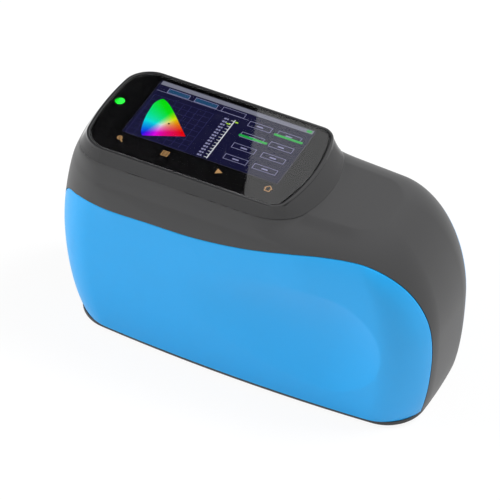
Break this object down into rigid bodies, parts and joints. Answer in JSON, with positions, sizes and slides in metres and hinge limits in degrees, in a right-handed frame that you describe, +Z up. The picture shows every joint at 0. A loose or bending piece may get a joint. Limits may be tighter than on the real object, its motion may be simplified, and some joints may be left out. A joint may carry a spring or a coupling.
{
  "type": "multi-angle spectrophotometer",
  "caption": "Handheld bar-shaped instrument with soft side grips and a slanted-edge top display, which rests on its base over a sample and looks at it through an aperture from several angles.",
  "frame": {"origin": "centre of the overall box at the level of the surface it stands on", "axes": "+X from the display end towards the neck, +Y towards the side with the measure key, +Z up"},
  "size_m": [0.193, 0.0731, 0.112],
  "materials": {
    "housing": "fine moulded texture",
    "grip": "soft satin, sky blue",
    "bezel": "polished black",
    "cover_glass": "clear, black printed border",
    "screen": "lit colour screen",
    "touch_strip": "printed sensor film with four symbols",
    "light_pipe": "green, lit",
    "base": "fine moulded texture",
    "foot": "matte",
    "screw": "black oxide",
    "black_metal": "black anodised",
    "barrel": "turned, anodised",
    "lens": "polished",
    "board": "solder mask",
    "carrier": "plain moulded",
    "cell": "shrink sleeve",
    "cable": "flat flexible",
    "key": "fine satin",
    "switch": "plain",
    "plunger": "plain",
    "port": "plated"
  },
  "bodies": {
    "instrument": {"aperture_ring": "black_metal", "base_plate": "base", "base_screws": "screw", "battery_cells": "cell", "battery_cradle": "carrier", "buzzer": "switch", "detector_barrels": "barrel", "detector_lenses": "lens", "detector_sensors": "board", "display_board": "board", "display_cable": "cable", "display_frame": "bezel", "display_glass": "cover_glass", "display_screws": "screw", "dust_window": "lens", "housing": "housing", "inner_frame": "carrier", "lamp_barrel": "barrel", "lamp_led_board": "board", "lamp_lens": "lens", "lcd_screen": "screen", "main_board": "board", "measure_board": "board", "measure_switch": "switch", "optics_arch": "black_metal", "port_board": "board", "power_board": "board", "power_switch": "switch", "rubber_feet": "foot", "side_grip_front": "grip", "side_grip_rear": "grip", "status_light_pipe": "light_pipe", "touch_key_strip": "touch_strip", "usb_port": "port"},
    "measure_key": {"measure_key": "key", "measure_plunger": "plunger"},
    "power_key": {"power_key": "key", "power_plunger": "plunger"}
  },
  "joints": [
    {"name": "measure_press", "type": "slide", "parent": "instrument", "child": "measure_key", "axis": [0, -1, 0], "range_m": [0, 0.001], "stiffness_N_per_m": 900, "springref_m": -0.0006},
    {"name": "power_press", "type": "slide", "parent": "instrument", "child": "power_key", "axis": [0.9861, 0, -0.166], "range_m": [0, 0.0006], "stiffness_N_per_m": 1200, "springref_m": -0.0004}
  ]
}
